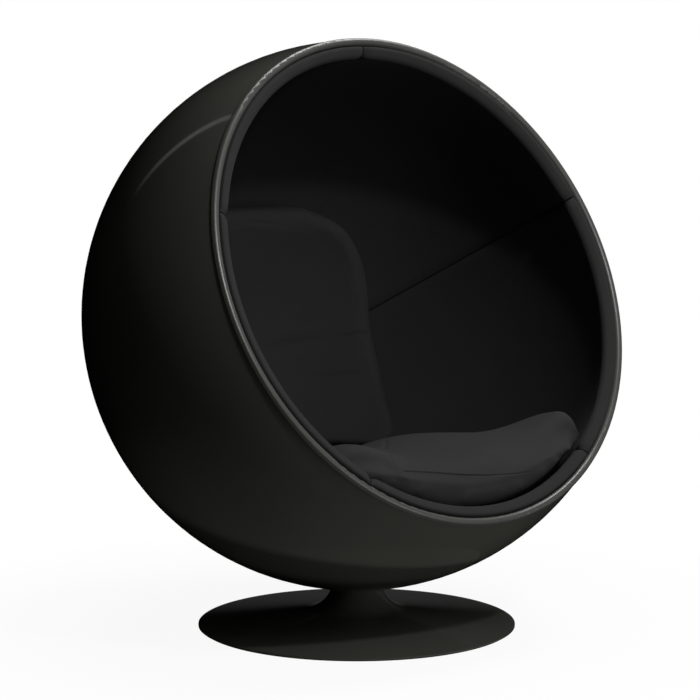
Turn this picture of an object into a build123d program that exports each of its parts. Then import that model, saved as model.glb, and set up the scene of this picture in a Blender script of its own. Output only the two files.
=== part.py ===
from build123d import *
from math import acos, asin, atan2, cos, degrees, hypot, radians, sin, sqrt, tan
import os

# Pod chair: a glass-fibre ball with a round tilted mouth, a padded lining, two loose
# cushions and a trumpet base that it swivels on.  Millimetres, +Z up, the chair faces -Y,
# and the origin is where the swivel axis meets the floor.

# ---------------------------------------------------------------- driving dimensions
# pod
shell_radius = 550            # outside of the ball
shell_wall = 8
mount_flat_height = 83.5      # flat under the ball, above the floor
mount_flat_margin = 2         # flat's edge outside the neck's lip
mount_pad_height = 11.5       # laminate thickness over that flat
mouth_tilt = 23.8             # degrees, the mouth leans back this much from upright
mouth_offset = 236            # ball centre to the plane of the shell's outer edge

# edge trim, a U-shaped bead pushed over the shell's edge
trim_leg_thickness = 3.5
trim_leg_depth = 5.5
trim_nose = 4.6               # round front of the bead, ahead of the shell's edge
trim_fit = 0.1                # clearance to the shell
trim_joint_gap = 0.6          # butt joint at the bottom of the mouth

# padded lining, five sewn gores
lining_thickness = 31
lining_glue_gap = 0.5
lining_gores = 5
lining_setback = 17           # centre of the padded front roll behind the shell's edge
lining_seam_gap = 0.5         # between two gores, at the mouth
lining_seam_groove = 3        # radius of the channel that the stitching draws in
lining_trim_gap = 0.8
pocket_margin = 4             # hollow in the padding, round the laminate pad
pocket_headroom = 2.5         # and over the bolt heads

# pedestal
base_radius = 322
base_edge_height = 6          # top of the base's rim above the floor
base_skin = 3
rim_foot_width = 6
neck_radius = 50              # outside of the neck at its lip
neck_gap = 1.5                # lip to the ball
flare_radius = 60             # hollow curve between the neck and the disc
flare_rise = 11.5             # centre of that curve above the lip
floor_pad_setback = 5         # inside the rim
floor_pad_thickness = 3
ballast_thickness = 8
ballast_setback = 132         # inside the rim, where the skin is high enough

# column, its nut and the disc that holds the neck down
column_wall = 8
column_pocket_gap = 1         # round the lower bush's flange
column_pocket_height = 17     # room for the spindle's nut
clamp_disc_thickness = 4
weld_gap = 0.1
ring_nut_wall = 10
ring_nut_height = 7
ring_nut_drop = 1.5           # below the top of the column
ring_nut_notches = 4
ring_nut_notch = 8
thread_gap = 0.05

# spindle, bushes and thrust bearing
spindle_radius = 15
spindle_shoulder = 3          # step down to the thread
spindle_end_height = 6
spindle_chamfer = 1.5
running_gap = 0.04
bush_wall = 7
bush_length = 16
bush_flange_overhang = 3.5
bush_flange_thickness = 3
axial_play = 0.15
retaining_washer_thickness = 2
retaining_nut_width = 36      # across flats
retaining_nut_height = 8
flange_neck_gap = 3
flange_thickness = 7
race_spindle_gap = 2
race_width = 12
race_thickness = 3
race_groove_depth = 1
ball_radius = 2.5
ball_count = 20
ball_gap = 0.05
cage_thickness = 1.4
cage_width = 9

# bolts between the swivel flange and the ball
bolt_count = 6
bolt_edge_distance = 7.5      # in from the flange's edge
bolt_radius = 4
bolt_clearance = 0.5
bolt_head_width = 13          # across flats
bolt_head_height = 5.3
washer_radius = 8
washer_thickness = 1.6
backing_plate_margin = 10     # in from the laminate pad's edge
backing_plate_thickness = 5
plate_gap = 0.05

# cushions
cushion_gap = 1.5             # to the lining
seat_setback = 7              # front face behind the shell's edge
seat_front_bulge = 7
seat_corner = 34
# the seat across its width, from the sitter's right to the left: side position; how far the
# front corner is set back; its height; the ridge, as (distance behind that corner, height);
# the shoulder in front of the back cushion and the hollow under it, as (distance ahead of
# the back of the bowl, height); height at the back.  Heights count from the bottom of the
# bowl.  The end at the sitter's right lies lower, as a used cushion does.
seat_stations = [
    (-330, 34, 246, (26, 253), (659, 208), (409, 150), 148),
    (-302, 14, 281, (17, 291), (679, 240), (389, 170), 166),
    (-250, 2, 289, (25, 305), (659, 256), (369, 182), 178),
    (-150, 0, 266, (57, 277), (569, 238), (349, 192), 182),
    (0, 0, 265, (165, 277), (489, 229), (344, 192), 184),
    (150, 0, 270, (57, 284), (569, 244), (349, 192), 182),
    (250, 0, 290, (25, 308), (659, 262), (369, 182), 178),
    (302, 0, 300, (17, 319), (679, 262), (389, 170), 166),
    (330, 0, 274, (48, 286), (659, 228), (409, 154), 150),
]
seat_back = 109               # ahead of the back of the bowl
back_corner = 40
back_corner_share = 0.25      # of the half width, where the cushion is narrow
# the back cushion up its height: height from the bottom of the bowl, half width, and how
# far its front face is ahead of the back of the bowl, at the middle and at the corners
back_stations = [
    (202, 226, 247, 337),
    (228, 266, 241, 351),
    (290, 287, 189, 299),
    (378, 300, 143, 253),
    (438, 301, 127, 230),
    (528, 299, 121, 221),
    (591, 284, 129, 218),
    (640, 258, 141, 214),
    (678, 220, 151, 199),
    (708, 160, 137, 164),
]

# ---------------------------------------------------------------- places worked out
mount_flat_radius = neck_radius + mount_flat_margin
pod_centre_height = mount_flat_height + sqrt(shell_radius**2 - mount_flat_radius**2)
pod_centre = Vector(0, 0, pod_centre_height)
mouth_axis_direction = Vector(0, -cos(radians(mouth_tilt)), sin(radians(mouth_tilt)))
mouth_up = Vector(0, sin(radians(mouth_tilt)), cos(radians(mouth_tilt)))
mouth_axis = Axis(pod_centre, mouth_axis_direction)
shell_inner_radius = shell_radius - shell_wall
edge_angle = degrees(acos(mouth_offset / shell_radius))
mount_pad_top = mount_flat_height + mount_pad_height
mount_pad_radius = sqrt(shell_inner_radius**2 - (pod_centre_height - mount_pad_top) ** 2)

lining_outer_radius = shell_inner_radius - lining_glue_gap
lining_inner_radius = lining_outer_radius - lining_thickness
lining_middle_radius = lining_outer_radius - lining_thickness / 2
cushion_radius = lining_inner_radius - cushion_gap

column_bore = spindle_radius + bush_wall
column_radius = column_bore + column_wall
bush_radius = column_bore - thread_gap
bush_bore = spindle_radius + running_gap
bush_flange_radius = column_bore + bush_flange_overhang
column_pocket_radius = bush_flange_radius + column_pocket_gap
column_bottom = floor_pad_thickness
column_pocket_top = column_bottom + column_pocket_height
spindle_thread_radius = spindle_radius - spindle_shoulder
flange_radius = neck_radius - base_skin - flange_neck_gap
bolt_circle_radius = flange_radius - bolt_edge_distance
race_inner_radius = spindle_radius + race_spindle_gap
race_outer_radius = race_inner_radius + race_width
ball_circle_radius = race_inner_radius + race_width / 2

# the swivel's pieces, stacked down from the flat under the ball
flange_bottom = mount_flat_height - flange_thickness
upper_race_bottom = flange_bottom - race_thickness
ball_height = upper_race_bottom + race_groove_depth - ball_radius
lower_race_top = ball_height - ball_radius + race_groove_depth
lower_race_bottom = lower_race_top - race_thickness
column_top = lower_race_bottom - bush_flange_thickness
ring_nut_bottom = column_top - ring_nut_drop - ring_nut_height

# the bolts and what they clamp, stacked up from the laminate pad
backing_plate_bottom = mount_pad_top + plate_gap
washer_bottom = backing_plate_bottom + backing_plate_thickness
bolt_head_bottom = washer_bottom + washer_thickness
bolt_head_top = bolt_head_bottom + bolt_head_height


def mouth_section(around):
    """Half plane through the mouth axis, local X outwards at this angle round the mouth
    from +X towards its top, local Y along the axis out of the mouth."""
    outwards = Vector(1, 0, 0) * cos(radians(around)) + mouth_up * sin(radians(around))
    return Plane(origin=pod_centre, x_dir=outwards, z_dir=outwards.cross(mouth_axis_direction))


def polar(radius, angle):
    """Point in a mouth section, the angle counted from the mouth axis."""
    return (radius * sin(radians(angle)), radius * cos(radians(angle)))


def polar_arc(radius, start, end):
    """Arc about the ball's centre between two angles from the mouth axis."""
    return ThreePointArc(polar(radius, start), polar(radius, (start + end) / 2), polar(radius, end))


def arc_angle(length, radius):
    """Degrees that a length takes up on an arc."""
    return degrees(length / radius)


os.makedirs("parts", exist_ok=True)


def keep(name, part):
    part.label = name
    export_step(part, f"parts/{name}.step")


# ---------------------------------------------------------------- pedestal
neck_top = mount_flat_height - neck_gap
flare_centre_height = neck_top + flare_rise
flare_centre_x = neck_radius + sqrt(flare_radius**2 - flare_rise**2)
rim_run = base_radius - flare_centre_x
rim_drop = flare_centre_height - base_edge_height
rim_distance = hypot(rim_run, rim_drop)
# the straight flank leaves the hollow curve at a tangent and ends at the rim
flank_angle = degrees(atan2(rim_drop, rim_run) + acos(flare_radius / rim_distance))
lip_angle = degrees(asin(flare_rise / flare_radius))
flank_slope = flank_angle - 90


def flare_point(radius, angle):
    """Point on the hollow curve, the angle counted down from the outward horizontal."""
    return (
        flare_centre_x + radius * cos(radians(angle)),
        flare_centre_height - radius * sin(radians(angle)),
    )


inner_flare = flare_radius + base_skin


def neck_inside(height):
    """Inner radius of the neck at a height."""
    return flare_centre_x - sqrt(inner_flare**2 - (flare_centre_height - height) ** 2)


inner_lip_angle = 180 - degrees(asin(flare_rise / inner_flare))
inner_flank_start = flare_point(inner_flare, flank_angle)
rim_foot_radius = base_radius - rim_foot_width
flank_fall = tan(radians(flank_slope))
rim_foot_top = inner_flank_start[1] - (rim_foot_radius - inner_flank_start[0]) * flank_fall

with BuildPart() as pedestal:
    with BuildSketch(Plane.XZ):
        with BuildLine():
            ThreePointArc(
                flare_point(flare_radius, 180 - lip_angle),
                flare_point(flare_radius, (180 - lip_angle + flank_angle) / 2),
                flare_point(flare_radius, flank_angle),
            )
            Polyline(
                flare_point(flare_radius, flank_angle),
                (base_radius, base_edge_height),
                (base_radius, floor_pad_thickness),
                (rim_foot_radius, floor_pad_thickness),
                (rim_foot_radius, rim_foot_top),
                inner_flank_start,
            )
            ThreePointArc(
                inner_flank_start,
                flare_point(inner_flare, (inner_lip_angle + flank_angle) / 2),
                flare_point(inner_flare, inner_lip_angle),
            )
            Line(
                flare_point(inner_flare, inner_lip_angle),
                flare_point(flare_radius, 180 - lip_angle),
            )
        make_face()
    revolve(axis=Axis.Z)
keep("pedestal", pedestal.part)

with BuildPart() as floor_pad:
    with BuildSketch():
        Circle(base_radius - floor_pad_setback)
    extrude(amount=floor_pad_thickness)
keep("floor_pad", floor_pad.part)


def ring(inner, outer, bottom, top):
    """Turned ring between two heights, as a finished part."""
    with BuildPart() as turned:
        with BuildSketch(Plane.XY.offset(bottom)):
            Circle(outer)
            Circle(inner, mode=Mode.SUBTRACT)
        extrude(amount=top - bottom)
    return turned.part


ballast_top = floor_pad_thickness + ballast_thickness
ballast_radius = base_radius - ballast_setback
keep(
    "ballast_plate",
    ring(column_radius + thread_gap, ballast_radius, floor_pad_thickness, ballast_top),
)

with BuildPart() as column_tube:
    with BuildSketch(Plane.XY.offset(column_bottom)):
        Circle(column_radius)
        Circle(column_bore, mode=Mode.SUBTRACT)
    extrude(amount=column_top - column_bottom)
    with BuildSketch(Plane.XY.offset(column_bottom)):
        Circle(column_pocket_radius)
    extrude(amount=column_pocket_top - column_bottom, mode=Mode.SUBTRACT)
keep("column_tube", column_tube.part)

clamp_disc_radius = neck_inside(ring_nut_bottom) - weld_gap
clamp_disc_bottom = ring_nut_bottom - clamp_disc_thickness
keep(
    "clamp_disc",
    ring(column_radius + thread_gap, clamp_disc_radius, clamp_disc_bottom, ring_nut_bottom),
)

with BuildPart() as ring_nut:
    with BuildSketch(Plane.XY.offset(ring_nut_bottom)):
        Circle(column_radius + ring_nut_wall)
        Circle(column_radius + thread_gap, mode=Mode.SUBTRACT)
        with PolarLocations(column_radius + ring_nut_wall, ring_nut_notches):
            Rectangle(ring_nut_notch, ring_nut_notch, mode=Mode.SUBTRACT)
    extrude(amount=ring_nut_height)
keep("ring_nut", ring_nut.part)

# ---------------------------------------------------------------- bushes and thrust bearing
with BuildPart() as upper_bush:
    with BuildSketch(Plane.XY.offset(column_top - bush_length)):
        Circle(bush_radius)
        Circle(bush_bore, mode=Mode.SUBTRACT)
    extrude(amount=bush_length)
    with BuildSketch(Plane.XY.offset(column_top)):
        Circle(bush_flange_radius)
        Circle(bush_bore, mode=Mode.SUBTRACT)
    extrude(amount=bush_flange_thickness)
keep("upper_bush", upper_bush.part)

with BuildPart() as lower_bush:
    with BuildSketch(Plane.XY.offset(column_pocket_top)):
        Circle(bush_radius)
        Circle(bush_bore, mode=Mode.SUBTRACT)
    extrude(amount=bush_length)
    with BuildSketch(Plane.XY.offset(column_pocket_top - bush_flange_thickness)):
        Circle(bush_flange_radius)
        Circle(bush_bore, mode=Mode.SUBTRACT)
    extrude(amount=bush_flange_thickness)
keep("lower_bush", lower_bush.part)


def bearing_race(inner, bottom, top):
    """Flat thrust race with a round groove for the balls."""
    with BuildPart() as race:
        with BuildSketch(Plane.XZ):
            with Locations(((inner + race_outer_radius) / 2, (bottom + top) / 2)):
                Rectangle(race_outer_radius - inner, top - bottom)
            with Locations((ball_circle_radius, ball_height)):
                Circle(ball_radius + ball_gap, mode=Mode.SUBTRACT)
        revolve(axis=Axis.Z)
    return race.part


keep("lower_race", bearing_race(race_inner_radius, lower_race_bottom, lower_race_top))
keep("upper_race", bearing_race(spindle_radius + plate_gap, upper_race_bottom, flange_bottom))

with BuildPart() as bearing_balls:
    with Locations(Plane.XY.offset(ball_height)):
        with PolarLocations(ball_circle_radius, ball_count):
            Sphere(ball_radius)
keep("bearing_balls", bearing_balls.part)

with BuildPart() as ball_cage:
    with BuildSketch(Plane.XY.offset(ball_height - cage_thickness / 2)):
        Circle(ball_circle_radius + cage_width / 2)
        Circle(ball_circle_radius - cage_width / 2, mode=Mode.SUBTRACT)
        with PolarLocations(ball_circle_radius, ball_count):
            Circle(ball_radius + 2 * ball_gap, mode=Mode.SUBTRACT)
    extrude(amount=cage_thickness)
keep("ball_cage", ball_cage.part)

# ---------------------------------------------------------------- spindle and swivel flange
retaining_washer_top = column_pocket_top - bush_flange_thickness - axial_play
retaining_washer_bottom = retaining_washer_top - retaining_washer_thickness

with BuildPart() as spindle:
    with BuildSketch(Plane.XY.offset(spindle_end_height)):
        Circle(spindle_thread_radius)
    extrude(amount=retaining_washer_top - spindle_end_height)
    with BuildSketch(Plane.XY.offset(retaining_washer_top)):
        Circle(spindle_radius)
    extrude(amount=mount_flat_height - retaining_washer_top)
    chamfer(spindle.faces().sort_by(Axis.Z)[0].edges(), spindle_chamfer)
keep("spindle", spindle.part)

keep(
    "retaining_washer",
    ring(
        spindle_thread_radius + thread_gap,
        bush_flange_radius - bush_flange_overhang / 2,
        retaining_washer_bottom,
        retaining_washer_top,
    ),
)

with BuildPart() as retaining_nut:
    with BuildSketch(Plane.XY.offset(retaining_washer_bottom - retaining_nut_height)):
        RegularPolygon(retaining_nut_width / 2, 6, major_radius=False)
        Circle(spindle_thread_radius + thread_gap, mode=Mode.SUBTRACT)
    extrude(amount=retaining_nut_height)
keep("retaining_nut", retaining_nut.part)

with BuildPart() as swivel_flange:
    with BuildSketch(Plane.XY.offset(flange_bottom)):
        Circle(flange_radius)
        Circle(spindle_radius + weld_gap / 2, mode=Mode.SUBTRACT)
        with PolarLocations(bolt_circle_radius, bolt_count):
            Circle(bolt_radius + thread_gap, mode=Mode.SUBTRACT)
    extrude(amount=flange_thickness)
keep("swivel_flange", swivel_flange.part)

with BuildPart() as backing_plate:
    with BuildSketch(Plane.XY.offset(backing_plate_bottom)):
        Circle(mount_pad_radius - backing_plate_margin)
        with PolarLocations(bolt_circle_radius, bolt_count):
            Circle(bolt_radius + bolt_clearance, mode=Mode.SUBTRACT)
    extrude(amount=backing_plate_thickness)
keep("backing_plate", backing_plate.part)

with BuildPart() as bolt_washers:
    with BuildSketch(Plane.XY.offset(washer_bottom)):
        with PolarLocations(bolt_circle_radius, bolt_count):
            Circle(washer_radius)
        with PolarLocations(bolt_circle_radius, bolt_count):
            Circle(bolt_radius + bolt_clearance, mode=Mode.SUBTRACT)
    extrude(amount=washer_thickness)
keep("bolt_washers", bolt_washers.part)

with BuildPart() as flange_bolts:
    with BuildSketch(Plane.XY.offset(flange_bottom)):
        with PolarLocations(bolt_circle_radius, bolt_count):
            Circle(bolt_radius)
    extrude(amount=bolt_head_bottom - flange_bottom)
    with BuildSketch(Plane.XY.offset(bolt_head_bottom)):
        with PolarLocations(bolt_circle_radius, bolt_count):
            RegularPolygon(bolt_head_width / 2, 6, major_radius=False)
    extrude(amount=bolt_head_height)
keep("flange_bolts", flange_bolts.part)

# ---------------------------------------------------------------- shell
with BuildPart() as shell:
    with BuildSketch(mouth_section(0)):
        with BuildLine():
            polar_arc(shell_radius, edge_angle, 180)
            Line(polar(shell_radius, 180), polar(shell_inner_radius, 180))
            polar_arc(shell_inner_radius, 180, edge_angle)
            Line(polar(shell_inner_radius, edge_angle), polar(shell_radius, edge_angle))
        make_face()
    revolve(axis=mouth_axis)
    # laminate built up over the mount, level inside
    with BuildSketch(Plane.XY.offset(mount_flat_height)):
        Circle(mount_pad_radius + shell_wall / 4)
    extrude(amount=mount_pad_height)
    # flat under the ball
    with BuildSketch(Plane.XY.offset(mount_flat_height)):
        Circle(mount_flat_radius + shell_wall)
    extrude(amount=-shell_wall, mode=Mode.SUBTRACT)
    with BuildSketch(Plane.XY.offset(mount_flat_height)):
        with PolarLocations(bolt_circle_radius, bolt_count):
            Circle(bolt_radius + bolt_clearance)
    extrude(amount=mount_pad_height, mode=Mode.SUBTRACT)
keep("shell", shell.part)

# ---------------------------------------------------------------- edge trim
trim_slot_inside = shell_inner_radius - trim_fit
trim_slot_outside = shell_radius + trim_fit
trim_inner_radius = trim_slot_inside - trim_leg_thickness
trim_outer_radius = trim_slot_outside + trim_leg_thickness
trim_back_angle = edge_angle + arc_angle(trim_leg_depth, shell_radius)
trim_slot_angle = edge_angle - arc_angle(trim_fit, shell_radius)
trim_nose_angle = trim_slot_angle - arc_angle(trim_nose, shell_radius)
trim_joint_angle = arc_angle(trim_joint_gap, shell_radius * sin(radians(edge_angle)))

with BuildPart() as edge_trim:
    with BuildSketch(mouth_section(-90 + trim_joint_angle / 2)):
        with BuildLine():
            polar_arc(trim_outer_radius, trim_slot_angle, trim_back_angle)
            Line(polar(trim_outer_radius, trim_back_angle), polar(trim_slot_outside, trim_back_angle))
            polar_arc(trim_slot_outside, trim_back_angle, trim_slot_angle)
            Line(polar(trim_slot_outside, trim_slot_angle), polar(trim_slot_inside, trim_slot_angle))
            polar_arc(trim_slot_inside, trim_slot_angle, trim_back_angle)
            Line(polar(trim_slot_inside, trim_back_angle), polar(trim_inner_radius, trim_back_angle))
            polar_arc(trim_inner_radius, trim_back_angle, trim_slot_angle)
            ThreePointArc(
                polar(trim_inner_radius, trim_slot_angle),
                polar((trim_inner_radius + trim_outer_radius) / 2, trim_nose_angle),
                polar(trim_outer_radius, trim_slot_angle),
            )
        make_face()
    revolve(axis=mouth_axis, revolution_arc=360 - trim_joint_angle)
keep("edge_trim", edge_trim.part)

# ---------------------------------------------------------------- lining
# each gore is a strip of padding with its cover, from the back of the ball to a round roll
# at the mouth; the roll's outer side is stepped in to clear the trim's inner leg
lining_step_radius = trim_inner_radius - lining_trim_gap
lining_step_angle = trim_back_angle + arc_angle(lining_trim_gap, shell_radius)
roll_angle = degrees(acos((mouth_offset - lining_setback) / lining_middle_radius))
roll_height = arc_angle((lining_step_radius - lining_inner_radius) / 2, lining_middle_radius)
gore_angle = 360 / lining_gores
seam_gap_angle = arc_angle(lining_seam_gap, lining_inner_radius)
first_seam = 90
pocket_top = bolt_head_top + pocket_headroom
pocket_radius = mount_pad_radius + pocket_margin


def lining_gore(seam):
    """One gore, from the seam at this angle round the mouth to the next one."""
    with BuildPart() as gore:
        with BuildSketch(mouth_section(seam + seam_gap_angle / 2)):
            with BuildLine():
                polar_arc(lining_inner_radius, roll_angle, 180)
                Line(polar(lining_inner_radius, 180), polar(lining_outer_radius, 180))
                polar_arc(lining_outer_radius, 180, lining_step_angle)
                Line(
                    polar(lining_outer_radius, lining_step_angle),
                    polar(lining_step_radius, lining_step_angle),
                )
                polar_arc(lining_step_radius, lining_step_angle, roll_angle)
                ThreePointArc(
                    polar(lining_step_radius, roll_angle),
                    polar((lining_step_radius + lining_inner_radius) / 2, roll_angle - roll_height),
                    polar(lining_inner_radius, roll_angle),
                )
            make_face()
        revolve(axis=mouth_axis, revolution_arc=gore_angle - seam_gap_angle)
        with Locations(mouth_section(seam), mouth_section(seam + gore_angle)):
            Torus(lining_inner_radius, lining_seam_groove, mode=Mode.SUBTRACT)
        with BuildSketch():
            Circle(pocket_radius)
        extrude(amount=pocket_top, mode=Mode.SUBTRACT)
    return gore.part


gore_names = ["upper_right", "lower_right", "bottom", "lower_left", "upper_left"]   # the sitter's
for place, name in enumerate(gore_names):
    keep(f"lining_{name}", lining_gore(first_seam + place * gore_angle))

# ---------------------------------------------------------------- cushions
bowl_bottom = pod_centre_height - cushion_radius
below_bowl = cushion_radius - shell_radius     # from the bowl's bottom, outside the bowl
behind_bowl = shell_radius
seat_front_offset = mouth_offset - seat_setback


def mouth_plane_point(offset, height):
    """How far behind the swivel axis the plane at this distance along the mouth axis is, at
    this height over the bottom of the bowl."""
    rise = height - cushion_radius
    return (rise * sin(radians(mouth_tilt)) - offset) / cos(radians(mouth_tilt))


def seat_section(station):
    """Outline of the seat at one side position, in the plane across the chair."""
    side, setback, front_height, ridge, shoulder, hollow, back_height = station
    front_low = (mouth_plane_point(seat_front_offset, below_bowl) + setback, below_bowl)
    low_height = front_height - seat_corner
    corner_low = (mouth_plane_point(seat_front_offset, low_height) + setback, low_height)
    corner_high = (
        mouth_plane_point(seat_front_offset, front_height) + setback + seat_corner,
        front_height,
    )
    bulge_height = (low_height + below_bowl) / 2
    bulge_offset = seat_front_offset + seat_front_bulge
    bulge = (mouth_plane_point(bulge_offset, bulge_height) + setback, bulge_height)
    ridge_top = (corner_high[0] + ridge[0], ridge[1])
    shoulder_end = (cushion_radius - shoulder[0], shoulder[1])
    hollow_end = (cushion_radius - hollow[0], hollow[1])
    back = cushion_radius - seat_back
    across = Plane(origin=(side, 0, bowl_bottom), x_dir=(0, 1, 0), z_dir=(1, 0, 0))
    with BuildSketch(across) as section:
        with BuildLine():
            front_crown = TangentArc(ridge_top, corner_high, tangent=(-1, 0))
            TangentArc(corner_high, corner_low, tangent=front_crown % 1)
            ThreePointArc(corner_low, bulge, front_low)
            back_crown = TangentArc(ridge_top, shoulder_end, tangent=(1, 0))
            TangentArc(shoulder_end, hollow_end, tangent=back_crown % 1)
            Polyline(hollow_end, (back, back_height), (back, below_bowl), front_low)
        make_face()
    return section.sketch


with BuildPart() as seat_cushion:
    loft([seat_section(station) for station in seat_stations])
    with Locations(pod_centre):
        Sphere(cushion_radius, mode=Mode.INTERSECT)
keep("seat_cushion", seat_cushion.part)


def back_section(station):
    """Outline of the back cushion at one height."""
    height, half_width, middle_depth, side_depth = station
    middle = cushion_radius - middle_depth
    side = cushion_radius - side_depth
    corner = min(back_corner, half_width * back_corner_share)
    round_in = corner * (1 - sqrt(0.5))
    with BuildSketch(Plane.XY.offset(bowl_bottom + height)) as section:
        with BuildLine():
            ThreePointArc((-half_width + corner, side), (0, middle), (half_width - corner, side))
            ThreePointArc(
                (half_width - corner, side),
                (half_width - round_in, side + round_in),
                (half_width, side + corner),
            )
            Polyline(
                (half_width, side + corner),
                (half_width, behind_bowl),
                (-half_width, behind_bowl),
                (-half_width, side + corner),
            )
            ThreePointArc(
                (-half_width, side + corner),
                (-half_width + round_in, side + round_in),
                (-half_width + corner, side),
            )
        make_face()
    return section.sketch


with BuildPart() as back_cushion:
    loft([back_section(station) for station in back_stations])
    with Locations(pod_centre):
        Sphere(cushion_radius, mode=Mode.INTERSECT)
keep("back_cushion", back_cushion.part)
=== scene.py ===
import bpy
from math import acos, atan2, cos, degrees, exp, pi, radians, sin
from mathutils import Matrix, Vector, noise
from mathutils.bvhtree import BVHTree
from mathutils.kdtree import KDTree


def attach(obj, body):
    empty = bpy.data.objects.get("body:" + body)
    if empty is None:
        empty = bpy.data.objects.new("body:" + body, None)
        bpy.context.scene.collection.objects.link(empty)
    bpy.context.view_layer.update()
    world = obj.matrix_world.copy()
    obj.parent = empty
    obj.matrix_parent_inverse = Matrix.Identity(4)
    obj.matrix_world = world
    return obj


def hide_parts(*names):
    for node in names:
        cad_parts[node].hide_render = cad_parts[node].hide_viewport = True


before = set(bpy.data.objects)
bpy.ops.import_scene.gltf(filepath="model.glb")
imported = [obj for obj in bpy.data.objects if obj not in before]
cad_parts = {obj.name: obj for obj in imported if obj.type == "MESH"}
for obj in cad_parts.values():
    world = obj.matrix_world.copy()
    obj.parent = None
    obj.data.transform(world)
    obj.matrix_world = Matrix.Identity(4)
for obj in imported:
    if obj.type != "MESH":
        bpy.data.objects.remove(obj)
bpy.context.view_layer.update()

# the ball, as the frame has it: what the soft pieces are fitted to
ball = {
    "centre": Vector((0, 0, 0.63104)),
    "mouthTilt": 23.8,
    "padOuter": 0.5412,
    "padInner": 0.5105,
    "bowlRadius": 0.5088,
}
mouthAxis = Vector((0, -cos(radians(ball["mouthTilt"])), sin(radians(ball["mouthTilt"]))))
mouthUp = Vector((0, sin(radians(ball["mouthTilt"])), cos(radians(ball["mouthTilt"]))))
sideways = Vector((1, 0, 0))


def pickNothing():
    if bpy.context.object and bpy.context.object.mode != "OBJECT":
        bpy.ops.object.mode_set(mode="OBJECT")
    bpy.ops.object.select_all(action="DESELECT")


def pickOnly(piece):
    pickNothing()
    piece.select_set(True)
    bpy.context.view_layer.objects.active = piece


def clearMeshSelection(piece):
    for part in (piece.data.vertices, piece.data.edges, piece.data.polygons):
        part.foreach_set("select", [False] * len(part))


def editMode(kind):
    bpy.ops.object.mode_set(mode="EDIT")
    bpy.ops.mesh.select_mode(type=kind)


def objectMode():
    bpy.ops.object.mode_set(mode="OBJECT")


def applyModifier(piece, modifier):
    pickOnly(piece)
    bpy.ops.object.modifier_apply(modifier=modifier.name)


def settle(piece):
    pickOnly(piece)
    bpy.ops.object.transform_apply(location=True, rotation=True, scale=True)


# angle from the mouth's axis, angle round it from +X towards its top, and radius
def aroundMouth(point):
    out = point - ball["centre"]
    return (
        degrees(acos(max(-1, min(1, out.dot(mouthAxis) / out.length)))),
        degrees(atan2(out.dot(mouthUp), out.dot(sideways))) % 360,
        out.length,
    )


def mathNode(tree, operation, first, second=None):
    node = tree.nodes.new("ShaderNodeMath")
    node.operation = operation
    for socket, value in zip(node.inputs, (first, second)):
        if value is None:
            continue
        if isinstance(value, (int, float)):
            socket.default_value = value
        else:
            tree.links.new(value, socket)
    return node.outputs[0]


# brings a value from one span to another
def rangeNode(tree, value, span, target, kind="LINEAR"):
    node = tree.nodes.new("ShaderNodeMapRange")
    node.interpolation_type = kind
    node.inputs["From Min"].default_value = span[0]
    node.inputs["From Max"].default_value = span[1]
    node.inputs["To Min"].default_value = target[0]
    node.inputs["To Max"].default_value = target[1]
    tree.links.new(value, node.inputs["Value"])
    return node.outputs["Result"]


# how far a direction points along a way
def alongNode(tree, direction, way):
    node = tree.nodes.new("ShaderNodeVectorMath")
    node.operation = "DOT_PRODUCT"
    node.inputs[1].default_value = way
    tree.links.new(direction, node.inputs[0])
    return node.outputs["Value"]


def mixShaders(tree, factor, first, second):
    node = tree.nodes.new("ShaderNodeMixShader")
    for socket, value in zip(node.inputs, (factor, first, second)):
        tree.links.new(value, socket)
    return node.outputs[0]


# the camera stands where the photo's did
camera = {
    "place": (-3.1228, -3.6459, 1.099), "lens": 123.43, "sensorWidth": 36, "nearest": 0.05,
    "lookDown": 83.62, "turn": -40.42,
}
eye = bpy.data.objects.new("photoCamera", bpy.data.cameras.new("photoCamera"))
bpy.context.scene.collection.objects.link(eye)
eye.location = camera["place"]
eye.rotation_euler = (radians(camera["lookDown"]), 0, radians(camera["turn"]))
eye.data.sensor_width = camera["sensorWidth"]
eye.data.lens = camera["lens"]
eye.data.clip_start = camera["nearest"]
bpy.context.scene.camera = eye
print("camera placed")

bpy.context.scene.view_settings.view_transform = "Standard"

# directions are (azimuth from the chair's front, elevation) seen from the ball
light = {
    "keyFrom": (-8, 38.5), "keyDistance": 3.0, "keySize": 0.16, "keyPower": 30,
    "roundKeyFrom": (-8, 39), "roundKeyDistance": 2.95, "roundKeySize": 1.4, "roundKeyPower": 17,
    "highFrom": (75, 62), "highDistance": 3.0, "highSize": 1.3, "highPower": 60,
    "underFrom": (38, -76), "underDistance": 3.44, "underSize": 0.3, "underPower": 27,
    "lowFrom": (-20, -56), "lowDistance": 3.0, "lowSize": 1.0, "lowPower": 9,
    "fillFrom": (14, -3), "fillDistance": 3.5, "fillSize": 1.0, "fillPower": 16,
}


def fromBall(azimuth, elevation):
    a, e = radians(azimuth), radians(elevation)
    return Vector((sin(a) * cos(e), -cos(a) * cos(e), sin(e)))


def softbox(name, which):
    direction = fromBall(*light[which + "From"])
    lamp = bpy.data.objects.new(name, bpy.data.lights.new(name, "AREA"))
    bpy.context.scene.collection.objects.link(lamp)
    lamp.location = ball["centre"] + direction * light[which + "Distance"]
    lamp.rotation_euler = direction.to_track_quat("Z", "Y").to_euler()
    lamp.data.shape = "DISK"
    lamp.data.size = light[which + "Size"]
    lamp.data.energy = light[which + "Power"]
    lamp.visible_camera = False
    return lamp


softbox("keySoftbox", "key")
softbox("roundKeySoftbox", "roundKey")  # softens the key's shadow inside the ball
softbox("highSoftbox", "high")
softbox("fillSoftbox", "fill")
# two stand below the floor, which lets them through
for lamp in (softbox("underSoftbox", "under"), softbox("lowSoftbox", "low")):
    lamp.visible_glossy = False

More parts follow.
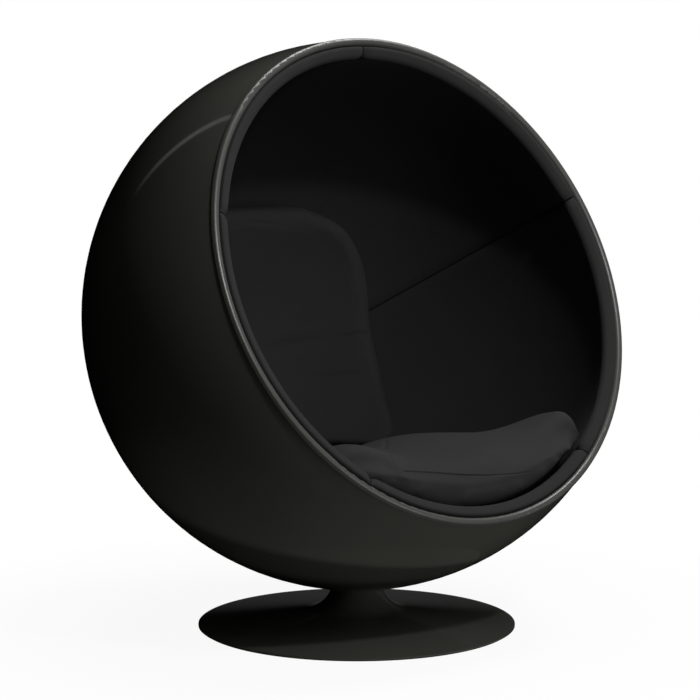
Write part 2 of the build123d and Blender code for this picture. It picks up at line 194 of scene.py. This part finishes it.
# places count from the ball's centre
strip = {
    "top": (-0.546, 1.483, 2.065), "foot": (-0.726, 2.292, 0.990), "radius": 0.055, "sides": 24,
    "bright": 0.78, "dim": 0.02, "brightFrom": 0.7,
}


# a thin tube lamp behind the chair, dimmer at its foot: the fine streak on the ball
def tubeLamp():
    top = ball["centre"] + Vector(strip["top"])
    foot = ball["centre"] + Vector(strip["foot"])
    pickNothing()
    bpy.ops.mesh.primitive_cylinder_add(
        vertices=strip["sides"], radius=strip["radius"], depth=(top - foot).length,
        location=(top + foot) / 2, rotation=(top - foot).to_track_quat("Z", "Y").to_euler(),
    )
    tube = bpy.context.object
    tube.name = "tubeLamp"
    settle(tube)
    material = bpy.data.materials.new("tubeGlow")
    material.use_nodes = True
    tree = material.node_tree
    tree.nodes.clear()
    place = tree.nodes.new("ShaderNodeTexCoord")
    split = tree.nodes.new("ShaderNodeSeparateXYZ")
    tree.links.new(place.outputs["Object"], split.inputs[0])
    rise = (foot.z, foot.z + strip["brightFrom"] * (top.z - foot.z))
    fade = rangeNode(tree, split.outputs["Z"], rise, (strip["dim"], strip["bright"]))
    glow = tree.nodes.new("ShaderNodeEmission")
    tree.links.new(fade, glow.inputs["Strength"])
    out = tree.nodes.new("ShaderNodeOutputMaterial")
    tree.links.new(glow.outputs[0], out.inputs["Surface"])
    tube.data.materials.append(material)
    tube.visible_camera = tube.visible_shadow = tube.visible_diffuse = False


tubeLamp()

sky = {
    "way": (0.25, -0.75, 0.61), "span": (-0.3, 0.9), "strength": 0.23,
    "backWay": (0.648, 0.761, -0.02), "backSpan": (0.975, 0.996), "backStrength": 0.05,
}


# a weak dome, brighter in front and overhead, with a low glow behind; the camera sees white
def studioSky():
    world = bpy.data.worlds.new("studioSky")
    bpy.context.scene.world = world
    world.use_nodes = True
    tree = world.node_tree
    tree.nodes.clear()
    place = tree.nodes.new("ShaderNodeTexCoord")
    front = alongNode(tree, place.outputs["Generated"], sky["way"])
    ramp = rangeNode(tree, front, sky["span"], (0, sky["strength"]), "SMOOTHSTEP")
    behind = alongNode(tree, place.outputs["Generated"], sky["backWay"])
    backGlow = rangeNode(tree, behind, sky["backSpan"], (0, sky["backStrength"]), "SMOOTHSTEP")
    dome = tree.nodes.new("ShaderNodeBackground")
    tree.links.new(mathNode(tree, "ADD", ramp, backGlow), dome.inputs["Strength"])
    white = tree.nodes.new("ShaderNodeBackground")
    white.inputs["Color"].default_value = (1, 1, 1, 1)
    white.inputs["Strength"].default_value = 1
    path = tree.nodes.new("ShaderNodeLightPath")
    seen = mathNode(
        tree, "MAXIMUM", path.outputs["Is Camera Ray"], path.outputs["Is Transmission Ray"]
    )
    out = tree.nodes.new("ShaderNodeOutputWorld")
    tree.links.new(mixShaders(tree, seen, dome.outputs[0], white.outputs[0]), out.inputs["Surface"])


studioSky()

floorForm = {
    "radius": 2.2, "sides": 96, "colour": 0.8, "shadowShare": 0.07, "fadeFrom": 0.45, "fadeTo": 1.1,
}


# white to the camera but for a share of the chair's shadow; lets the lamps below it through
def makeFloor():
    pickNothing()
    bpy.ops.mesh.primitive_circle_add(
        vertices=floorForm["sides"], radius=floorForm["radius"], fill_type="NGON", location=(0, 0, 0)
    )
    floor = bpy.context.object
    floor.name = "studioFloor"
    material = bpy.data.materials.new("paleFloor")
    material.use_nodes = True
    tree = material.node_tree
    tree.nodes.clear()
    paint = tree.nodes.new("ShaderNodeBsdfDiffuse")
    paint.inputs["Color"].default_value = (*[floorForm["colour"]] * 3, 1)
    glow = tree.nodes.new("ShaderNodeEmission")
    glow.inputs["Color"].default_value = (1, 1, 1, 1)
    glow.inputs["Strength"].default_value = 1
    place = tree.nodes.new("ShaderNodeTexCoord")
    far = tree.nodes.new("ShaderNodeVectorMath")
    far.operation = "LENGTH"
    tree.links.new(place.outputs["Object"], far.inputs[0])
    span = (floorForm["fadeFrom"], floorForm["fadeTo"])
    fade = rangeNode(tree, far.outputs["Value"], span, (1 - floorForm["shadowShare"], 1))
    path = tree.nodes.new("ShaderNodeLightPath")
    seen = mathNode(tree, "MULTIPLY", path.outputs["Is Camera Ray"], fade)
    out = tree.nodes.new("ShaderNodeOutputMaterial")
    tree.links.new(mixShaders(tree, seen, paint.outputs[0], glow.outputs[0]), out.inputs["Surface"])
    floor.data.materials.append(material)
    floor.visible_shadow = floor.visible_diffuse = floor.visible_glossy = False


makeFloor()
print("lamps, sky and floor placed")


def newGroup(name, inputs, outputs):
    group = bpy.data.node_groups.new(name, "ShaderNodeTree")
    for label, value in inputs:
        socket = group.interface.new_socket(name=label, in_out="INPUT", socket_type="NodeSocketFloat")
        socket.default_value = value
    for label in outputs:
        group.interface.new_socket(name=label, in_out="OUTPUT", socket_type="NodeSocketFloat")
    return group, group.nodes.new("NodeGroupInput"), group.nodes.new("NodeGroupOutput")


def noiseNode(tree, where, scale, detail=2.0, roughness=0.5):
    node = tree.nodes.new("ShaderNodeTexNoise")
    node.inputs["Detail"].default_value = detail
    node.inputs["Roughness"].default_value = roughness
    if isinstance(scale, (int, float)):
        node.inputs["Scale"].default_value = scale
    else:
        tree.links.new(scale, node.inputs["Scale"])
    tree.links.new(where, node.inputs["Vector"])
    return node.outputs["Fac"]


# plain weave on each of the three planes, mixed by which way the cloth faces; its second output is
# painted shade, lighter on raised threads and slubs and darker in the weave's hollows
def weaveGroup():
    slubSize, facingPower = 260, 3
    inputs = [("Threads per metre", 700), ("Slubs", 0.35)]
    group, given, made = newGroup("clothWeave", inputs, ["Height", "Weave shade"])
    place = group.nodes.new("ShaderNodeTexCoord")
    split = group.nodes.new("ShaderNodeSeparateXYZ")
    group.links.new(place.outputs["Object"], split.inputs[0])
    facing = group.nodes.new("ShaderNodeSeparateXYZ")
    group.links.new(place.outputs["Normal"], facing.inputs[0])
    waves = []
    for axis in range(3):
        turns = mathNode(group, "MULTIPLY", split.outputs[axis], given.outputs["Threads per metre"])
        waves.append(mathNode(group, "SINE", mathNode(group, "MULTIPLY", turns, pi)))
    total = None
    for axis in range(3):
        crossing = mathNode(group, "MULTIPLY", waves[(axis + 1) % 3], waves[(axis + 2) % 3])
        flat = mathNode(group, "ABSOLUTE", facing.outputs[axis])
        part = mathNode(group, "MULTIPLY", crossing, mathNode(group, "POWER", flat, facingPower))
        total = part if total is None else mathNode(group, "ADD", total, part)
    slub = noiseNode(group, place.outputs["Object"], slubSize, 3, 0.6)
    slubbed = mathNode(group, "MULTIPLY", mathNode(group, "SUBTRACT", slub, 0.5), given.outputs["Slubs"])
    height = mathNode(group, "ADD", mathNode(group, "MULTIPLY", total, 0.5), slubbed)
    group.links.new(height, made.inputs["Height"])
    # painted shade: the weave's height turned into a tone, darker in its hollows and lighter on raised
    # threads and slubs
    tone = mathNode(group, "ADD", mathNode(group, "MULTIPLY", height, 0.5), 0.5)
    group.links.new(tone, made.inputs["Weave shade"])
    return group


# slow, uneven variation between two values
def mottleGroup():
    inputs = [("Size", 6), ("Low", 0), ("High", 1)]
    group, given, made = newGroup("slowMottle", inputs, ["Value"])
    place = group.nodes.new("ShaderNodeTexCoord")
    cloud = noiseNode(group, place.outputs["Object"], given.outputs["Size"], 4, 0.55)
    span = mathNode(group, "SUBTRACT", given.outputs["High"], given.outputs["Low"])
    value = mathNode(group, "ADD", mathNode(group, "MULTIPLY", cloud, span), given.outputs["Low"])
    group.links.new(value, made.inputs["Value"])
    return group


# fine dust that has settled on what faces up
def dustGroup():
    speckSize, patchSize = 900, 7
    group, given, made = newGroup("settledDust", [("Amount", 0.3)], ["Mask"])
    place = group.nodes.new("ShaderNodeTexCoord")
    facing = group.nodes.new("ShaderNodeSeparateXYZ")
    group.links.new(place.outputs["Normal"], facing.inputs[0])
    up = mathNode(group, "POWER", mathNode(group, "MAXIMUM", facing.outputs[2], 0), 2)
    specks = noiseNode(group, place.outputs["Object"], speckSize, 2, 0.7)
    patches = noiseNode(group, place.outputs["Object"], patchSize, 3, 0.6)
    grains = mathNode(group, "MULTIPLY", mathNode(group, "POWER", specks, 3), patches)
    mask = mathNode(group, "MULTIPLY", mathNode(group, "MULTIPLY", grains, up), given.outputs["Amount"])
    group.links.new(mask, made.inputs["Mask"])
    return group


effects = {"weave": weaveGroup(), "mottle": mottleGroup(), "dust": dustGroup()}


def startMaterial(name):
    material = bpy.data.materials.new(name)
    material.use_nodes = True
    tree = material.node_tree
    return material, tree, tree.nodes["Principled BSDF"]


def useEffect(tree, effect, **values):
    node = tree.nodes.new("ShaderNodeGroup")
    node.node_tree = effects[effect]
    for label, value in values.items():
        node.inputs[label.replace("_", " ")].default_value = value
    return node


# a colour is given as three numbers or as the socket that makes it
def mixColour(tree, factor, first, second):
    node = tree.nodes.new("ShaderNodeMix")
    node.data_type = "RGBA"
    for label, colour in (("A", first), ("B", second)):
        if isinstance(colour, tuple):
            node.inputs[label].default_value = (*colour, 1)
        else:
            tree.links.new(colour, node.inputs[label])
    tree.links.new(factor, node.inputs["Factor"])
    return node.outputs["Result"]


def addBump(tree, shader, height, distance, strength):
    bump = tree.nodes.new("ShaderNodeBump")
    bump.inputs["Distance"].default_value = distance
    bump.inputs["Strength"].default_value = strength
    tree.links.new(height, bump.inputs["Height"])
    tree.links.new(bump.outputs["Normal"], shader.inputs["Normal"])


def grey(value, warmth=0.0):
    return (value, value * (1 + warmth / 6), value * (1 - warmth))


gloss = {"dustTone": (0.16, 0.16, 0.155), "wearScale": 5, "ior": 1.45}


# moulded or sprayed gloss black: faint orange peel, slow cloudiness, a little dust
def lacquer(name, look):
    material, tree, shader = startMaterial(name)
    cloud = useEffect(tree, "mottle", Size=look["cloudSize"], Low=0, High=1)
    dust = useEffect(tree, "dust", Amount=look["dust"])
    base = mixColour(tree, cloud.outputs["Value"], look["darkTone"], look["lightTone"])
    dusty = mixColour(tree, dust.outputs["Mask"], base, gloss["dustTone"])
    tree.links.new(dusty, shader.inputs["Base Color"])
    smoothest, roughest = look["roughness"]
    wearSize = look["cloudSize"] * gloss["wearScale"]
    worn = useEffect(tree, "mottle", Size=wearSize, Low=smoothest, High=roughest)
    tree.links.new(worn.outputs["Value"], shader.inputs["Roughness"])
    shader.inputs["Specular IOR Level"].default_value = look["specular"]
    shader.inputs["IOR"].default_value = gloss["ior"]
    place = tree.nodes.new("ShaderNodeTexCoord")
    peel = noiseNode(tree, place.outputs["Object"], look["peelSize"], 2, 0.5)
    addBump(tree, shader, peel, look["peelDepth"], 1)
    return material


# the first share is painted shade from the weave's height, the second the cloth's real uneven dye
wool = {
    "weaveShadeShare": 0.6, "dyeShare": 0.4, "roughness": 0.92, "specular": 0.15,
    "sheenRoughness": 0.5, "sheenTint": (0.5, 0.5, 0.5, 1), "bump": 0.7,
}


# woven wool: threads and slubs with painted shade in the weave's hollows, uneven dye and a little fuzz
# at grazing angles
def cloth(name, look):
    material, tree, shader = startMaterial(name)
    weave = useEffect(tree, "weave", Threads_per_metre=look["threads"], Slubs=look["slubs"])
    dye = useEffect(tree, "mottle", Size=look["dyeSize"], Low=0, High=1)
    # painted shade from the weave's height, added to the real uneven dye
    weaveShade = mathNode(tree, "MULTIPLY", weave.outputs["Weave shade"], wool["weaveShadeShare"])
    dyeTone = mathNode(tree, "MULTIPLY", dye.outputs["Value"], wool["dyeShare"])
    tone = mathNode(tree, "ADD", weaveShade, dyeTone)
    colour = mixColour(tree, tone, look["darkTone"], look["lightTone"])
    tree.links.new(colour, shader.inputs["Base Color"])
    shader.inputs["Roughness"].default_value = wool["roughness"]
    shader.inputs["Specular IOR Level"].default_value = wool["specular"]
    shader.inputs["Sheen Weight"].default_value = look["sheen"]
    shader.inputs["Sheen Roughness"].default_value = wool["sheenRoughness"]
    shader.inputs["Sheen Tint"].default_value = wool["sheenTint"]
    addBump(tree, shader, weave.outputs["Height"], look["weaveDepth"], wool["bump"])
    return material


turned = {"markDepth": 0.0001, "bump": 0.3}


# turned or ground metal with fine marks and slow colour change
def metal(name, look):
    material, tree, shader = startMaterial(name)
    tone = useEffect(tree, "mottle", Size=look["cloudSize"], Low=0, High=1)
    colour = mixColour(tree, tone.outputs["Value"], look["darkTone"], look["lightTone"])
    tree.links.new(colour, shader.inputs["Base Color"])
    shader.inputs["Metallic"].default_value = 1
    smoothest, roughest = look["roughness"]
    marks = useEffect(tree, "mottle", Size=look["markSize"], Low=smoothest, High=roughest)
    tree.links.new(marks.outputs["Value"], shader.inputs["Roughness"])
    addBump(tree, shader, marks.outputs["Value"], turned["markDepth"], turned["bump"])
    return material


shellLook = {
    "darkTone": grey(0.042, 0.1), "lightTone": grey(0.058, 0.14), "specular": 0.2,
    "roughness": (0.04, 0.09), "cloudSize": 3, "peelSize": 220, "peelDepth": 0.000004, "dust": 0.05,
}
baseLook = {
    "darkTone": grey(0.050, 0.1), "lightTone": grey(0.066, 0.14), "specular": 0.2,
    "roughness": (0.06, 0.11), "cloudSize": 5, "peelSize": 300, "peelDepth": 0.000006, "dust": 0.1,
}
trimLook = {
    "darkTone": grey(0.047, 0.05), "lightTone": grey(0.064, 0.08), "specular": 0.5,
    "roughness": (0.3, 0.38), "cloudSize": 12, "peelSize": 700, "peelDepth": 0.00003, "dust": 0.1,
}
floorPadLook = {
    "darkTone": grey(0.02), "lightTone": grey(0.04), "specular": 0.3,
    "roughness": (0.8, 0.95), "cloudSize": 20, "peelSize": 900, "peelDepth": 0.0001, "dust": 0,
}
liningLook = {
    "darkTone": grey(0.015), "lightTone": grey(0.025), "threads": 640, "slubs": 0.4,
    "dyeSize": 9, "sheen": 0.02, "weaveDepth": 0.0004,
}
cushionLook = {
    "darkTone": grey(0.017), "lightTone": grey(0.029), "threads": 560, "slubs": 0.45,
    "dyeSize": 11, "sheen": 0.02, "weaveDepth": 0.0004,
}
steelLook = {
    "darkTone": (0.46, 0.47, 0.48), "lightTone": (0.6, 0.61, 0.62),
    "roughness": (0.25, 0.45), "cloudSize": 15, "markSize": 400,
}
bronzeLook = {
    "darkTone": (0.5, 0.3, 0.13), "lightTone": (0.68, 0.45, 0.22),
    "roughness": (0.25, 0.4), "cloudSize": 20, "markSize": 500,
}

finishes = {
    "shell_gloss": lacquer("blackLacquer", shellLook),
    "base_paint": lacquer("blackBasePaint", baseLook),
    "trim_rubber": lacquer("edgeBead", trimLook),
    "floor_rubber": lacquer("floorPadRubber", floorPadLook),
    "lining_fabric": cloth("liningWool", liningLook),
    "cushion_fabric": cloth("cushionWool", cushionLook),
    "steel": metal("turnedSteel", steelLook),
    "bronze": metal("bushBronze", bronzeLook),
}
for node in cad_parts.values():
    slotName = node.data.materials[0].name.split(".")[0]
    for index in range(len(node.data.materials)):
        node.data.materials[index] = finishes[slotName]
print("materials made and put on the frame's pieces")

# angles in degrees from the mouth's axis, or round it; lengths in metres
liningForm = {
    "segments": 300, "rings": 150, "firstSeam": 90, "gore": 72, "mouthAngle": 63.95,
    "bevelRoll": 0.0135, "rollSteps": 6, "rimBand": 0.2,
    "seamRound": 0.004, "seamSteps": 3, "seamEnd": 172, "onSeam": 0.05,
    "trimClear": 0.5374, "trimAngle": 65.4,
    "seamDip": 0.006, "seamReach": 0.0065, "pucker": 0.0012, "puckerReach": 0.022,
    "puckerRate": 0.55, "slowRate": 5, "slowDepth": 0.0006, "clear": 0.0005,
    "gap": 0.0026, "gapEnd": 176, "gapFade": 12, "atSeam": 0.02,
    "notch": 0.004, "notchEnd": 68, "sharpAngle": 50,
}
gores = {
    "liningUpperRight": "lining_upper_right",
    "liningLowerRight": "lining_lower_right",
    "liningBottom": "lining_bottom",
    "liningLowerLeft": "lining_lower_left",
    "liningUpperLeft": "lining_upper_left",
}


# the whole ball of padding, its poles on the mouth's axis
def padBall():
    pickNothing()
    bpy.ops.mesh.primitive_uv_sphere_add(
        segments=liningForm["segments"], ring_count=liningForm["rings"], radius=ball["padOuter"],
        location=ball["centre"], rotation=(radians(90 - ball["mouthTilt"]), 0, 0),
    )
    settle(bpy.context.object)
    return bpy.context.object


# rounds the selected edges
def roundEdges(size, steps):
    editMode("EDGE")
    bpy.ops.mesh.bevel(offset=size, segments=steps, profile=0.5, clamp_overlap=True)
    objectMode()


# one sewn strip of padding, from the roll at the mouth to the back of the ball
def makeGore(whole, name, seam):
    form = liningForm
    gore = whole.copy()
    gore.data = whole.data.copy()
    gore.name = name
    bpy.context.scene.collection.objects.link(gore)
    pickOnly(gore)
    clearMeshSelection(gore)
    for face in gore.data.polygons:
        angle, around, _ = aroundMouth(face.center)
        face.select = angle < form["mouthAngle"] or (around - seam) % 360 > form["gore"]
    editMode("FACE")
    bpy.ops.mesh.delete(type="FACE")
    objectMode()
    wall = gore.modifiers.new("padding", "SOLIDIFY")
    wall.thickness = ball["padOuter"] - ball["padInner"]
    wall.offset = -1
    applyModifier(gore, wall)
    clearMeshSelection(gore)
    points = [aroundMouth(v.co) for v in gore.data.vertices]
    rimEnd = min(p[0] for p in points) + form["rimBand"]
    for edge in gore.data.edges:
        a, b = (points[i] for i in edge.vertices)
        edge.select = a[0] < rimEnd and b[0] < rimEnd and abs(a[2] - b[2]) < 0.001
    roundEdges(form["bevelRoll"], form["rollSteps"])
    clearMeshSelection(gore)
    points = [aroundMouth(v.co) for v in gore.data.vertices]
    for edge in gore.data.edges:
        ends = [points[i] for i in edge.vertices]
        fromSeams = [min((p[1] - seam) % 360, (seam + form["gore"] - p[1]) % 360) for p in ends]
        onSeam = max(fromSeams) < form["onSeam"]
        inner = all(p[2] < ball["padInner"] + 0.0005 for p in ends)
        edge.select = onSeam and inner and max(p[0] for p in ends) < form["seamEnd"]
    roundEdges(form["seamRound"], form["seamSteps"])
    shapeGore(gore, seam)
    gore.data.materials.append(finishes["lining_fabric"])
    return gore


# sinks the padding along its two seams, notches the roll at them, tucks it behind the trim
# and leaves the seam's gap
def shapeGore(gore, seam):
    form = liningForm
    middle = (ball["padOuter"] + ball["padInner"]) / 2
    for vertex in gore.data.vertices:
        angle, around, radius = aroundMouth(vertex.co)
        along = (around - seam) % 360
        if along > form["gore"] + 1:
            along -= 360
        arc = radians(1) * radius * max(sin(radians(angle)), 0.05)
        toSeam = max(0, min(along, form["gore"] - along)) * arc
        if radius < middle:
            wrinkle = noise.noise(Vector((angle * form["puckerRate"], seam, 3.1)))
            wrinkle = max(0, wrinkle * exp(-toSeam / form["puckerReach"]))
            slow = noise.noise(vertex.co * form["slowRate"]) * form["slowDepth"]
            dip = form["seamDip"] * exp(-toSeam / form["seamReach"])
            radius += dip + form["pucker"] * wrinkle + slow + form["clear"]
        if angle < form["notchEnd"]:
            share = (form["notchEnd"] - angle) / (form["notchEnd"] - form["mouthAngle"])
            angle += degrees(form["notch"] * share * exp(-toSeam / form["seamReach"]) / radius)
        if angle < form["trimAngle"] and radius > form["trimClear"]:
            radius = form["trimClear"]
        fade = max(0, min(1, (form["gapEnd"] - angle) / form["gapFade"]))
        shift = form["gap"] / 2 / arc * fade
        if along < form["atSeam"]:
            along += shift
        elif along > form["gore"] - form["atSeam"]:
            along -= shift
        around = radians(seam + along)
        across = sideways * cos(around) + mouthUp * sin(around)
        out = mouthAxis * cos(radians(angle)) + across * sin(radians(angle))
        vertex.co = ball["centre"] + out * radius


wholeBall = padBall()
for place, (name, node) in enumerate(gores.items()):
    gore = makeGore(wholeBall, name, liningForm["firstSeam"] + place * liningForm["gore"])
    pickOnly(gore)
    bpy.ops.object.shade_smooth_by_angle(angle=radians(liningForm["sharpAngle"]))
    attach(gore, "pod")
    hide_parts(node)
bpy.data.objects.remove(wholeBall)
print("lining sewn")

seatForm = {
    "voxel": 0.010, "shrink": 0.004, "pressure": 4, "cap": 0.005, "softenBefore": 6, "softenAfter": 6,
    "fill": 0.8,
}
backForm = {
    "voxel": 0.009, "shrink": 0.004, "pressure": 4, "cap": 0.006, "softenBefore": 6, "softenAfter": 4,
    "fill": 0.7,
}


def copySolid(node, name):
    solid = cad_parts[node]
    piece = solid.copy()
    piece.data = solid.data.copy()
    for key in list(piece.keys()):
        del piece[key]
    piece.parent = None
    piece.matrix_world = Matrix.Identity(4)
    piece.name = name
    bpy.context.scene.collection.objects.link(piece)
    pickOnly(piece)
    bpy.ops.mesh.customdata_custom_splitnormals_clear()
    editMode("VERT")
    bpy.ops.mesh.select_all(action="SELECT")
    bpy.ops.mesh.remove_doubles(threshold=0.00005)
    objectMode()
    return piece


def soften(piece, times):
    smoother = piece.modifiers.new("soften", "SMOOTH")
    smoother.factor = 0.5
    smoother.iterations = times
    applyModifier(piece, smoother)


def keepInBowl(piece):
    for vertex in piece.data.vertices:
        out = vertex.co - ball["centre"]
        if out.length > ball["bowlRadius"]:
            vertex.co = ball["centre"] + out * (ball["bowlRadius"] / out.length)


cover = {"quality": 4, "mass": 0.3, "stretch": 15, "shear": 5, "bend": 0.5, "steps": 20}


# lets the cover swell under pressure, no further than the cap
def inflate(piece, form):
    start = [v.co.copy() for v in piece.data.vertices]
    swell = piece.modifiers.new("cover", "CLOTH")
    swell.settings.quality = cover["quality"]
    swell.settings.mass = cover["mass"]
    swell.settings.tension_stiffness = cover["stretch"]
    swell.settings.compression_stiffness = cover["stretch"]
    swell.settings.shear_stiffness = cover["shear"]
    swell.settings.bending_stiffness = cover["bend"]
    swell.settings.use_pressure = True
    swell.settings.uniform_pressure_force = form["pressure"]
    swell.settings.effector_weights.gravity = 0
    swell.collision_settings.use_collision = False
    scene = bpy.context.scene
    for step in range(1, cover["steps"] + 1):
        scene.frame_set(step)
    applyModifier(piece, swell)
    scene.frame_set(1)
    moved = 0
    for vertex, before in zip(piece.data.vertices, start):
        step = vertex.co - before
        moved = max(moved, step.length)
        if step.length > form["cap"]:
            vertex.co = before + step * (form["cap"] / step.length)
    print(piece.name, "swelled, most", round(moved * 1000, 1), "mm")


# no part of the cover stays inside the solid that it stands for
def fillOut(piece, solid):
    wrap = piece.modifiers.new("fillOut", "SHRINKWRAP")
    wrap.target = solid
    wrap.wrap_method = "NEAREST_SURFACEPOINT"
    wrap.wrap_mode = "OUTSIDE"
    applyModifier(piece, wrap)


def makePad(node, name, form):
    piece = copySolid(node, name)
    blocks = piece.modifiers.new("evenMesh", "REMESH")
    blocks.mode = "VOXEL"
    blocks.voxel_size = form["voxel"]
    applyModifier(piece, blocks)
    soften(piece, form["softenBefore"])
    pickOnly(piece)
    editMode("VERT")
    bpy.ops.mesh.select_all(action="SELECT")
    bpy.ops.transform.shrink_fatten(value=-form["shrink"])
    objectMode()
    inflate(piece, form)
    fillOut(piece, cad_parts[node])
    soften(piece, form["softenAfter"])
    finer = piece.modifiers.new("finer", "SUBSURF")
    finer.levels = finer.render_levels = 1
    applyModifier(piece, finer)
    keepInBowl(piece)
    return piece


# closely spaced points along a path, brought onto the cover
def layOn(piece, path, spacing=0.0015):
    points = [Vector(p) for p in path]
    fine = []
    for a, b in zip(points, points[1:]):
        steps = max(1, round((b - a).length / spacing))
        fine += [a.lerp(b, step / steps) for step in range(steps)]
    surface = BVHTree.FromObject(piece, bpy.context.evaluated_depsgraph_get())
    return [surface.find_nearest(point)[0] for point in (*fine, points[-1])]


# finds how far a point is from a path, and how far along it lies, from 0 to 1
def pathFinder(path):
    tree = KDTree(len(path))
    for index, point in enumerate(path):
        tree.insert(point, index)
    tree.balance()

    def find(point):
        _, index, away = tree.find(point)
        return away, index / (len(path) - 1)

    return find


# moves the cover in along a path, and up a little beside it
def pressLine(piece, path, form):
    find = pathFinder(path)
    width = form["width"]
    moves = []
    for vertex in piece.data.vertices:
        away, where = find(vertex.co)
        if away < width * 3.5:
            ends = min(1, where / form["taperIn"], (1 - where) / form["taperOut"])
            dip = exp(-(away / width) ** 2)
            lip = exp(-((away - 2 * width) / width) ** 2)
            moves.append((vertex, vertex.normal * (form["lip"] * lip - form["depth"] * dip) * ends))
    for vertex, move in moves:
        vertex.co += move


# a sewn seam: finer faces along its path, then a narrow groove with a soft lip
def sewSeam(piece, path, form):
    find = pathFinder(path)
    clearMeshSelection(piece)
    for face in piece.data.polygons:
        face.select = find(face.center)[0] < form["reach"]
    pickOnly(piece)
    editMode("FACE")
    bpy.ops.mesh.subdivide(number_cuts=form["cuts"])
    objectMode()
    pressLine(piece, path, form)


def finishPad(piece, node):
    pickOnly(piece)
    bpy.ops.object.shade_smooth()
    piece.data.materials.clear()
    piece.data.materials.append(finishes["cushion_fabric"])
    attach(piece, "pod")
    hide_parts(node)
    print(piece.name, len(piece.data.polygons), "faces")


def smooth(share):
    share = max(0, min(1, share))
    return share * share * (3 - 2 * share)


# rolls the cushion's end under, below its front edge at the sitter's right
def tuckEnd(piece, form):
    moves = []
    for vertex in piece.data.vertices:
        x, y, z = vertex.co
        below = form["topHeight"] - z
        if x < form["fromX"] and y < 0 and below > 0:
            share = smooth(below / form["over"]) * smooth((form["until"] - below) / form["over"])
            share *= smooth((form["fromX"] - x) / form["overX"]) * smooth(-vertex.normal.y * 2 - 0.2)
            moves.append((vertex, Vector(form["way"]) * form["depth"] * share))
    for vertex, move in moves:
        vertex.co += move


# draws the front's lower edge in, off the padded roll, so that a dark line shows between them
def undercut(piece, form):
    for vertex in piece.data.vertices:
        angle, _, radius = aroundMouth(vertex.co)
        if angle < form["endAngle"] and radius > form["fromRadius"]:
            share = smooth((radius - form["fromRadius"]) / form["overRadius"])
            share *= smooth((form["endAngle"] - angle) / form["overAngle"])
            share *= smooth((form["topHeight"] - vertex.co.z) / form["overHeight"])
            vertex.co += (ball["centre"] - vertex.co) / radius * form["depth"] * share


seatUndercut = {
    "fromRadius": 0.472, "overRadius": 0.028, "endAngle": 78, "overAngle": 8,
    "topHeight": 0.385, "overHeight": 0.03, "depth": 0.010,
}
seatTuck = {
    "fromX": -0.180, "overX": 0.030, "topHeight": 0.424, "over": 0.050, "until": 0.110,
    "depth": 0.012, "way": (0.15, 0.9, 0.1),
}
seatCrease = {"width": 0.0035, "depth": 0.0026, "lip": 0.0006, "taperIn": 0.2, "taperOut": 0.2}
seatCreasePaths = [
    ((-0.008, -0.098, 0.392), (-0.040, -0.135, 0.392), (-0.065, -0.161, 0.390), (-0.090, -0.190, 0.388)),
    ((-0.172, -0.290, 0.406), (-0.184, -0.310, 0.403), (-0.190, -0.322, 0.394)),
]
seatSeam = {
    "reach": 0.010, "cuts": 3, "width": 0.0016, "depth": 0.0030, "lip": 0.0005,
    "taperIn": 0.04, "taperOut": 0.6,
}
seatSeamPath = (
    (-0.188, -0.343, 0.379), (-0.134, -0.353, 0.372), (-0.069, -0.366, 0.362), (-0.034, -0.370, 0.357),
    (0.015, -0.374, 0.352), (0.079, -0.376, 0.348), (0.147, -0.377, 0.347),
)
seatPad = makePad("seat_cushion", "seatPad", seatForm)
undercut(seatPad, seatUndercut)
tuckEnd(seatPad, seatTuck)
for path in seatCreasePaths:
    pressLine(seatPad, layOn(seatPad, path), seatCrease)
sewSeam(seatPad, layOn(seatPad, seatSeamPath), seatSeam)
finishPad(seatPad, "seat_cushion")

backCreases = [
    (
        {"width": 0.004, "depth": 0.0034, "lip": 0.0010, "taperIn": 0.25, "taperOut": 0.1},
        ((0.215, 0.312, 0.547), (0.253, 0.284, 0.555), (0.290, 0.270, 0.556)),
    ),
    (
        {"width": 0.012, "depth": 0.0036, "lip": 0.0012, "taperIn": 0.35, "taperOut": 0.35},
        ((0.020, 0.374, 0.528), (0.094, 0.364, 0.532), (0.160, 0.340, 0.540), (0.230, 0.300, 0.552)),
    ),
    (
        {"width": 0.009, "depth": 0.0026, "lip": 0.0010, "taperIn": 0.35, "taperOut": 0.35},
        ((0.121, 0.329, 0.465), (0.199, 0.288, 0.465), (0.262, 0.245, 0.469)),
    ),
    (
        {"width": 0.005, "depth": 0.0012, "lip": 0.0006, "taperIn": 0.4, "taperOut": 0.4},
        ((-0.010, 0.357, 0.806), (0.035, 0.356, 0.801), (0.085, 0.350, 0.797)),
    ),
]
backPad = makePad("back_cushion", "backPad", backForm)
for crease, path in backCreases:
    pressLine(backPad, layOn(backPad, path), crease)
finishPad(backPad, "back_cushion")
print("cushions filled")
